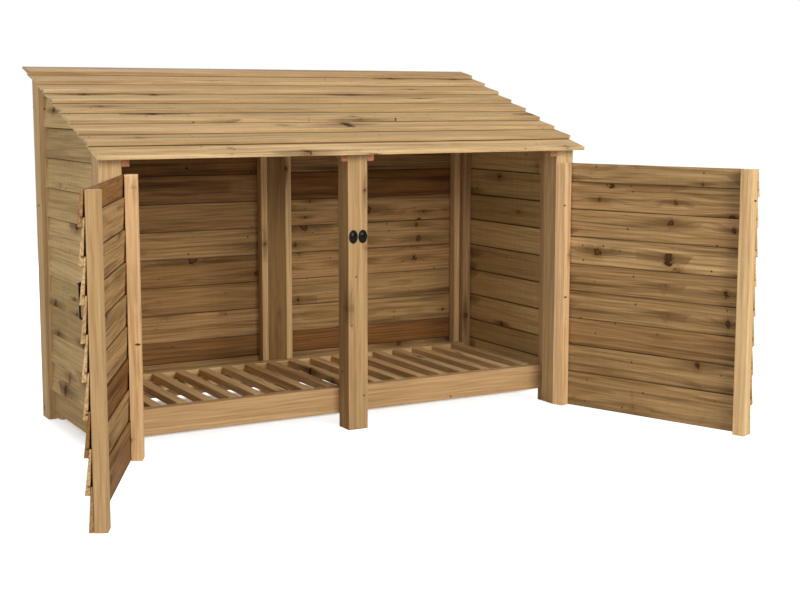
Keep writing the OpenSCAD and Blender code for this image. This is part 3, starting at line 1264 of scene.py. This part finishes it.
class IronWork:
    """Black iron, formed piece by piece in its own axes and then put in place."""

    def __init__(self) -> None:
        """Starts with nothing made."""
        self.mesh = bmesh.new()

    def place(self, part: BMesh, matrix: Matrix) -> None:
        """Moves a finished part to its place and joins it to the work.

        Args:
            part: The part, which is used up.
            matrix: Where it goes.
        """
        bmesh.ops.transform(part, matrix=matrix, verts=part.verts)
        bmesh.ops.recalc_face_normals(part, faces=part.faces)
        join(part, self.mesh)

    def hand_over(self, node: str) -> Piece:
        """Turns the work into the piece that stands for one CAD node."""
        return hand_over(self.mesh, node, "iron", Slot.IRON, (IRON,))

    def flat(self, outline: Sequence[Pair], thickness: float, matrix: Matrix, soften: float) -> None:
        """Presses a flat part from its outline.

        Args:
            outline: Its corners, in the plane of x and y.
            thickness: How thick it is, along z.
            matrix: Where it goes.
            soften: Rounding of its edges.
        """
        part = bmesh.new()
        corners = [part.verts.new((x, y, 0)) for x, y in outline]
        face = part.faces.new(corners)
        raised = bmesh.ops.extrude_face_region(part, geom=[face])["geom"]
        moved = [item for item in raised if isinstance(item, bmesh.types.BMVert)]
        bmesh.ops.translate(part, vec=(0, 0, thickness), verts=moved)
        round_off(part, soften, 40)
        self.place(part, matrix)

    def barrel(self, radius: float, length: float, matrix: Matrix, soften: float) -> None:
        """Rolls a knuckle or a pin along z, from z = 0, with softened rims.

        Args:
            radius: Its radius.
            length: Its length.
            matrix: Where it goes.
            soften: Rounding of its rims.
        """
        part = bmesh.new()
        bmesh.ops.create_cone(
            part, cap_ends=True, segments=BARREL_SIDES, radius1=radius, radius2=radius, depth=length,
            matrix=shift((0, 0, length / 2)),
        )
        round_off(part, soften, 60)
        self.place(part, matrix)

    def screw(self, radius: float, matrix: Matrix) -> None:
        """Sets a round-headed screw with its slot, facing +z.

        Args:
            radius: Its radius.
            matrix: Where it goes.
        """
        part = bmesh.new()
        bmesh.ops.create_uvsphere(part, u_segments=12, v_segments=8, radius=radius)
        bmesh.ops.bisect_plane(
            part, geom=whole(part), plane_co=(0, 0, 0), plane_no=-UP, clear_outer=True
        )
        fill_holes(part)
        bmesh.ops.scale(part, vec=(1, 1, SCREW_RISE), verts=part.verts)
        slot = SCREW_SLOT * radius
        for vertex in part.verts:
            if abs(vertex.co.x) < slot and vertex.co.z > SCREW_FLANK * radius:
                vertex.co.z -= slot
        self.place(part, matrix)

    def rosette(self, width: float, height: float, rise: float, matrix: Matrix) -> None:
        """Casts an oval rose: a rim, a shallow trough and a domed middle, facing +z.

        Args:
            width: Its width.
            height: Its height.
            rise: How thick it is.
            matrix: Where it goes.
        """
        part = bmesh.new()
        bmesh.ops.create_circle(part, cap_ends=True, segments=32, radius=1.0)
        part.faces.ensure_lookup_table()
        face = part.faces[0]
        for inset, lift in ROSE_STEPS:
            if inset:
                bmesh.ops.inset_region(part, faces=[face], thickness=inset, use_even_offset=True)
            else:
                face = bmesh.ops.extrude_discrete_faces(part, faces=[face])["faces"][0]
            bmesh.ops.translate(part, vec=(0, 0, lift), verts=face.verts)
        bmesh.ops.scale(part, vec=(width / 2, height / 2, rise), verts=part.verts)
        for item in part.faces:
            item.smooth = True
        self.place(part, matrix)


class BentRod(IronWork):
    """A round rod that is drawn straight and bent as it goes."""

    def start(self, radius: float, at: Vector, heading: Vector) -> None:
        """Opens a rod.

        Args:
            radius: Its radius.
            at: Where it starts.
            heading: The way that it runs.
        """
        self.part = bmesh.new()
        self.at = at.copy()
        self.heading = heading.normalized()
        turn = self.heading.to_track_quat("Z", "Y").to_matrix().to_4x4()
        made = bmesh.ops.create_circle(
            self.part, cap_ends=True, segments=ROD_SIDES, radius=radius, matrix=shift(at) @ turn
        )
        self.rim = list({edge for vertex in made["verts"] for edge in vertex.link_edges})

    def straight(self, length: float) -> None:
        """Draws the rod straight on.

        Args:
            length: How far.
        """
        made = bmesh.ops.extrude_edge_only(self.part, edges=self.rim)["geom"]
        points = [item for item in made if isinstance(item, bmesh.types.BMVert)]
        bmesh.ops.translate(self.part, vec=self.heading * length, verts=points)
        self.at += self.heading * length
        self.rim = self.end_rim(points)

    def bend(self, centre: Vector, axis: Vector, angle: float, steps: int) -> None:
        """Bends the rod about a point.

        Args:
            centre: The middle of the bend.
            axis: The axis that it turns about.
            angle: How far it turns.
            steps: How many sections the bend has.
        """
        made = bmesh.ops.spin(
            self.part, geom=self.rim, cent=centre, axis=axis, angle=angle, steps=steps, use_merge=False
        )["geom_last"]
        points = [item for item in made if isinstance(item, bmesh.types.BMVert)]
        turn = Matrix.Rotation(angle, 3, axis)
        self.at = centre + turn @ (self.at - centre)
        self.heading = turn @ self.heading
        self.rim = self.end_rim(points)

    @staticmethod
    def end_rim(points: Sequence[bmesh.types.BMVert]) -> list[bmesh.types.BMEdge]:
        """The edges of the newest section."""
        chosen = set(points)
        return list({e for v in points for e in v.link_edges if all(w in chosen for w in e.verts)})

    def close(self, matrix: Matrix) -> None:
        """Closes the rod's end, smooths it and puts it in place.

        Args:
            matrix: Where it goes.
        """
        fill_holes(self.part)
        for face in self.part.faces:
            face.smooth = len(face.verts) == 4
        self.place(self.part, matrix)


@dataclass
class TeeHinges:
    """The two hinges of a door: plates and pins on the post, tapered straps on the door."""

    side: Side
    base: Matrix
    thickness: float = 3 * MM
    knuckle: float = 5 * MM  # radius of a knuckle
    pin: float = 2.5 * MM  # radius of the pin in it
    gap: float = 0.5 * MM  # between knuckles
    height: float = 100 * MM  # of a plate
    corner: float = 6 * MM  # radius of a plate's corners
    tab: float = 1.4  # how far a knuckle's tab runs from the pin, in radii of the knuckle
    screw: float = 3.6 * MM  # radius of a screw's head
    soften: float = 0.8 * MM
    nose: float = 8 * MM  # length of a strap's rounded tip
    plate_screws: Pair = (0.3, 0.72)  # places across a plate, as shares of its width
    plate_rows: float = 0.72  # and above and below its middle, of half its height
    strap_screws: Place = (0.19, 0.5, 0.9)  # places along a strap, as shares of its length

    def build(self) -> list[Piece]:
        """Builds the plates on the post and the straps on the door."""
        return [self.plates(), self.straps()]

    def levels(self, low: Vector, high: Vector) -> Pair:
        """Heights of the two hinges' middles, from the box round both sets of plates."""
        return low.z + self.height / 2, high.z - self.height / 2

    def facing(self, away: float, depth: float, level: float) -> Matrix:
        """Axes for a flat part: x away from the pin, y up and z outwards.

        Args:
            away: 1 where the part runs along +x, or else -1.
            depth: How far its back lies behind the pin.
            level: Height of its middle.

        Returns:
            The matrix into the axes of the closed door.
        """
        turn = Matrix(((away, 0, 0), (0, 0, -1), (0, 1, 0))).to_4x4()
        return shift((0, depth, level)) @ turn

    def plates(self) -> Piece:
        """Makes the plates on the post, with their outer knuckles and their pins.

        Returns:
            The piece.
        """
        node = f"{self.side.word}_hinge_plates"
        closed = shift(self.base.to_translation())
        low, high = local_box(node, closed)
        width = max(-low.x, high.x) - self.knuckle
        half = self.height / 2
        step = self.height / 5
        work = IronWork()
        for level in self.levels(low, high):
            place = closed @ self.facing(self.side.value, high.y, level)
            outline = rounded_plate(self.knuckle, self.knuckle + width, half, self.corner)
            work.flat(outline, self.thickness, place, self.soften)
            for across in self.plate_screws:
                for up in (-self.plate_rows, self.plate_rows):
                    point = (self.knuckle + across * width, up * half, self.thickness)
                    work.screw(self.screw, place @ shift(point))
            for sign in (-1, 1):
                start = sign * (1.5 * step + self.gap) - step / 2
                knuckle = closed @ shift((0, 0, level + start))
                work.barrel(self.knuckle, step, knuckle, self.soften)
                end = self.tab * self.knuckle
                tab = [(0.0, start), (end, start), (end, start + step), (0.0, start + step)]
                work.flat(tab, self.thickness, place, self.soften / 2)
            pin = closed @ shift((0, 0, level - 2 * step))
            work.barrel(self.pin, 4 * step, pin, self.soften / 2)
        return work.hand_over(node)

    def straps(self) -> Piece:
        """Makes the tapered straps on the door, with their middle knuckles.

        Returns:
            The piece.
        """
        node = f"{self.side.word}_hinge_straps"
        low, high = local_box(node, self.base)
        plates = local_box(f"{self.side.word}_hinge_plates", shift(self.base.to_translation()))
        length = max(-low.x, high.x)
        step = self.height / 5
        levels = self.levels(*plates)
        wide = high.z - levels[1]
        narrow = wide / 2
        turns = [math.pi * k / 8 for k in range(9)]
        tip = [(length - self.nose * (1 - math.sin(a)), -narrow * math.cos(a)) for a in turns]
        outline = [(0.0, -step), (2 * wide, -wide)] + tip + [(2 * wide, wide), (0.0, step)]
        work = IronWork()
        for level in levels:
            place = self.base @ self.facing(-self.side.value, high.y, level)
            work.flat(outline, self.thickness, place, self.soften)
            for share in self.strap_screws:
                work.screw(self.screw, place @ shift((share * length, 0, self.thickness)))
            barrel = self.base @ shift((0, 0, level - step))
            work.barrel(self.knuckle, 2 * step, barrel, self.soften)
        return work.hand_over(node)


def rounded_plate(near: float, far: float, half: float, corner: float) -> list[Pair]:
    """Outline of a plate with two rounded corners on its far side.

    Args:
        near: Its near edge.
        far: Its far edge.
        half: Half its height.
        corner: Radius of the rounded corners.

    Returns:
        Its corners in order.
    """
    arc = [math.pi / 2 * k / 4 for k in range(5)]
    lower = [(far - corner + corner * math.sin(a), -half + corner - corner * math.cos(a)) for a in arc]
    upper = [(far - corner + corner * math.cos(a), half - corner + corner * math.sin(a)) for a in arc]
    return [(near, -half)] + lower + upper + [(near, half)]


@dataclass(frozen=True)
class Rose:
    """The oval plate that a cabin hook or its eye hangs from, with a staple in its middle."""

    width: float = 33 * MM
    height: float = 46 * MM
    rise: float = 3.4 * MM
    wire: float = 1.8 * MM  # radius of the staple's wire
    staple: float = 6.2 * MM  # radius of its ring
    stand: float = 0.7  # how far its middle stands off the plate, in those radii
    turn: float = 1.99 * math.pi  # of its wire, which all but meets
    screw: float = 3.0 * MM  # radius of a screw's head
    screw_up: float = 0.34  # place of each screw, as a share of the height
    screw_out: float = 0.6  # and of the rise

    def fix(self, work: BentRod, place: Matrix) -> None:
        """Adds the plate, its two screws and its staple.

        Args:
            work: The ironwork that gets them.
            place: Axes with z away from the timber and y up.
        """
        work.rosette(self.width, self.height, self.rise, place)
        for sign in (-1, 1):
            point = (0, sign * self.screw_up * self.height, self.screw_out * self.rise)
            work.screw(self.screw, place @ shift(point))
        centre = Vector((0, 0, self.rise + self.stand * self.staple))
        work.start(self.wire, centre + self.staple * RIGHT, UP)
        work.bend(centre, -BACK, self.turn, 28)
        work.close(place)


@dataclass
class HookEye:
    """A rose on the centre post whose staple a cabin hook drops into."""

    side: Side
    rose: Rose = Rose()

    def build(self) -> list[Piece]:
        """Builds the rose with its staple.

        Returns:
            The piece, in a list.
        """
        node = f"{self.side.word}_hook_eye"
        low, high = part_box(node)
        middle = Vector(((low.x + high.x) / 2, high.y, (low.z + high.z) / 2))
        work = BentRod()
        self.rose.fix(work, axes(RIGHT, UP, middle))
        return [work.hand_over(node)]


@dataclass
class CabinHook:
    """A cabin hook that hangs from its rose at the free edge of a door."""

    side: Side
    base: Matrix
    fall: float  # slope of the boards' faces
    rose: Rose = Rose()
    length: float = 90 * MM
    reach: float = 3 * MM  # half the thickness of its CAD rod
    wire: float = 2.5 * MM  # radius of the hook's wire
    ring: float = 4.0 * MM  # radius of the ring that holds it to the staple
    ring_turn: float = math.radians(320)
    bend: float = 4.4 * MM  # radius of the hook's bend
    bend_turn: float = math.radians(150)

    def build(self) -> list[Piece]:
        """Builds the rose and the hook that hangs from its staple.

        Returns:
            The piece, in a list.
        """
        node = f"{self.side.word}_cabin_hook"
        low, high = local_box(node, self.base)
        lean = math.atan(self.fall)
        back = high.y - self.rose.height / 2 * math.sin(lean)
        middle = Vector(((low.x + high.x) / 2, back, low.z + self.reach + self.length))
        work = BentRod()
        seat = self.base @ shift(middle) @ Matrix.Rotation(-lean, 4, "X")
        self.rose.fix(work, seat @ axes(RIGHT, UP))
        hang = Vector((middle.x, low.y + self.reach, middle.z))
        centre = hang + self.ring * BACK
        most = Matrix.Rotation(-self.ring_turn, 3, "X")
        work.start(self.wire, centre + most @ (hang - centre), most @ -UP)
        work.bend(centre, RIGHT, self.ring_turn, 18)
        work.straight(self.length - self.bend)
        work.bend(work.at + self.bend * BACK, RIGHT, self.bend_turn, 10)
        work.close(self.base)
        return [work.hand_over(node)]


# ---------------------------------------------------------------- doors


def door_joint(side: Side) -> dict:
    """The record's joint for one door."""
    return next(joint for joint in frame["joints"] if joint["name"] == f"{side.word}_door_hinge")


def door_axes(side: Side) -> Matrix:
    """A door's own axes: those of the store when the door is closed, with zero on the pin.

    Args:
        side: Which door.

    Returns:
        The matrix into the store's frame, at rest.
    """
    joint = door_joint(side)
    pin = Vector((joint["pos_m"][0], joint["pos_m"][1], 0))
    opened = -math.radians(joint["range_deg"][0])
    return shift(pin) @ Matrix.Rotation(opened, 4, Vector(joint["axis"]))


@dataclass
class Door:
    """A ledged door: lapped boards on two upright battens, with hinges and a hook."""

    side: Side
    exposure: float = 100 * MM
    short: Pair = (3 * MM, 3 * MM)
    batten: Stock = replace(POST_STOCK, pith_near=20 * MM, knottiness=0.4)
    nail_inset: float = 22 * MM

    def build(self) -> list[Piece]:
        """Builds the boards, the battens and the ironmongery.

        Returns:
            The pieces.
        """
        base = door_axes(self.side)
        word = self.side.word
        free = Tint.TAN if self.side is Side.LEFT else Tint.PALE
        pieces = [
            timber_piece(f"{word}_door_{edge}_batten", tinted(self.batten, tint), UP, RIGHT, base=base)
            for edge, tint in (("hinge", Tint.PINK), ("free", free))
        ]
        boards = Cladding(
            f"{word}_door_cladding", RIGHT, UP, self.exposure, self.exposure, self.short, base=base,
            nail_inset=self.nail_inset, knottiness=0.8,
            light=(0.05, 0.5) if self.side is Side.LEFT else (0.35, 1.0),
        )
        pieces += boards.build()
        pieces += TeeHinges(self.side, base).build()
        pieces += CabinHook(self.side, base, boards.fall()).build()
        return pieces


# ---------------------------------------------------------------- studio


@dataclass(frozen=True)
class Lamp:
    """A soft box, square and aimed at the store."""

    name: str
    position: Place
    size: float
    power: float
    colour: str

    def hang(self, target: Vector) -> None:
        """Hangs the lamp and aims it.

        Args:
            target: Where it aims.
        """
        data = bpy.data.lights.new(self.name, "AREA")
        data.size = self.size
        data.energy = self.power
        data.color = linear(self.colour)[:3]
        lamp = bpy.data.objects.new(self.name, data)
        lamp.location = self.position
        lamp.rotation_euler = (target - lamp.location).to_track_quat("-Z", "Y").to_euler()
        bpy.context.scene.collection.objects.link(lamp)


@dataclass
class Studio:
    """The camera, the lamps, the paper floor and the white surroundings."""

    eye: Place = (-2.178, -4.1765, 1.130)
    yaw: float = math.radians(29.18)  # to the right of straight ahead
    pitch: float = math.radians(7.51)  # downwards
    lens: float = 62.0
    shift: Pair = (0.0098, -0.0216)
    ambient: float = 0.28
    sky: str = "#fdfbf7"
    floor_size: float = 60.0
    lamps: tuple[Lamp, ...] = (
        Lamp("key_lamp", (0.7, -5.4, 2.9), 2.4, 285.0, "#fffaf2"),
        Lamp("top_lamp", (0.2, -0.6, 4.6), 2.0, 32.0, "#ffffff"),
        Lamp("rear_fill_lamp", (0.6, 5.4, 2.4), 2.6, 130.0, "#ffffff"),
        Lamp("left_fill_lamp", (-4.8, -1.6, 2.2), 2.6, 78.0, "#fbfaff"),
        Lamp("right_fill_lamp", (4.8, -1.6, 2.2), 2.6, 34.0, "#fbfaff"),
    )

    def build(self) -> None:
        """Sets up everything that isn't the store."""
        self.camera()
        self.surroundings()
        self.floor()
        target = (CAD_BOUNDS[0] + CAD_BOUNDS[1]) / 2
        for lamp in self.lamps:
            lamp.hang(target)
        bpy.context.scene.view_settings.view_transform = "Standard"

    def camera(self) -> None:
        """Stands the camera at the front left, looking a little down."""
        data = bpy.data.cameras.new("camera")
        data.lens = self.lens
        data.shift_x, data.shift_y = self.shift
        camera = bpy.data.objects.new("camera", data)
        camera.location = self.eye
        camera.rotation_euler = (math.pi / 2 - self.pitch, 0.0, -self.yaw)
        bpy.context.scene.collection.objects.link(camera)
        bpy.context.scene.camera = camera

    def surroundings(self) -> None:
        """Lights the store evenly from all round, with white for the eye to see."""
        world = bpy.data.worlds.new("studio")
        bpy.context.scene.world = world
        world.use_nodes = True
        tree = world.node_tree
        tree.nodes.clear()
        add = partial(add_node, tree)
        soft = add("Background", {"Color": self.sky, "Strength": self.ambient})
        white = add("Background", {"Color": grey(1.0), "Strength": 1.0})
        add("OutputWorld", {"Surface": add("MixShader", [seen_by_eye(add), soft, white])})

    def floor(self) -> None:
        """Lays the paper at the level of the posts' feet."""
        mesh = bmesh.new()
        bmesh.ops.create_grid(mesh, x_segments=1, y_segments=1, size=self.floor_size / 2)
        data = bpy.data.meshes.new("paper_floor")
        mesh.to_mesh(data)
        mesh.free()
        data.materials.append(PAPER.material())
        floor = bpy.data.objects.new("paper_floor", data)
        bpy.context.scene.collection.objects.link(floor)
        floor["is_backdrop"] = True


def write_sizes() -> None:
    """Measures the CAD model's box and the dressed model's box, and writes neither."""
    boxes = [[list(corner) for corner in box] for box in (CAD_BOUNDS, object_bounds())]


def main() -> None:
    """Builds the studio and each sub-assembly in order, and reports every piece."""
    logging.basicConfig(level=logging.INFO, format="%(message)s")
    Studio().build()
    parts = [PostFrame(), FloorDeck(), Roof()]
    parts += [SidePanel(side) for side in Side]
    parts += [RearPanel(side) for side in Side]
    parts += [Door(side) for side in Side]
    parts += [HookEye(side) for side in Side]
    for part in parts:
        for piece in part.build():
            LOG.info("%s: %s, %d faces", type(part).__name__, piece.name, len(piece.data.polygons))
    write_sizes()


if __name__ == "__main__":
    main()
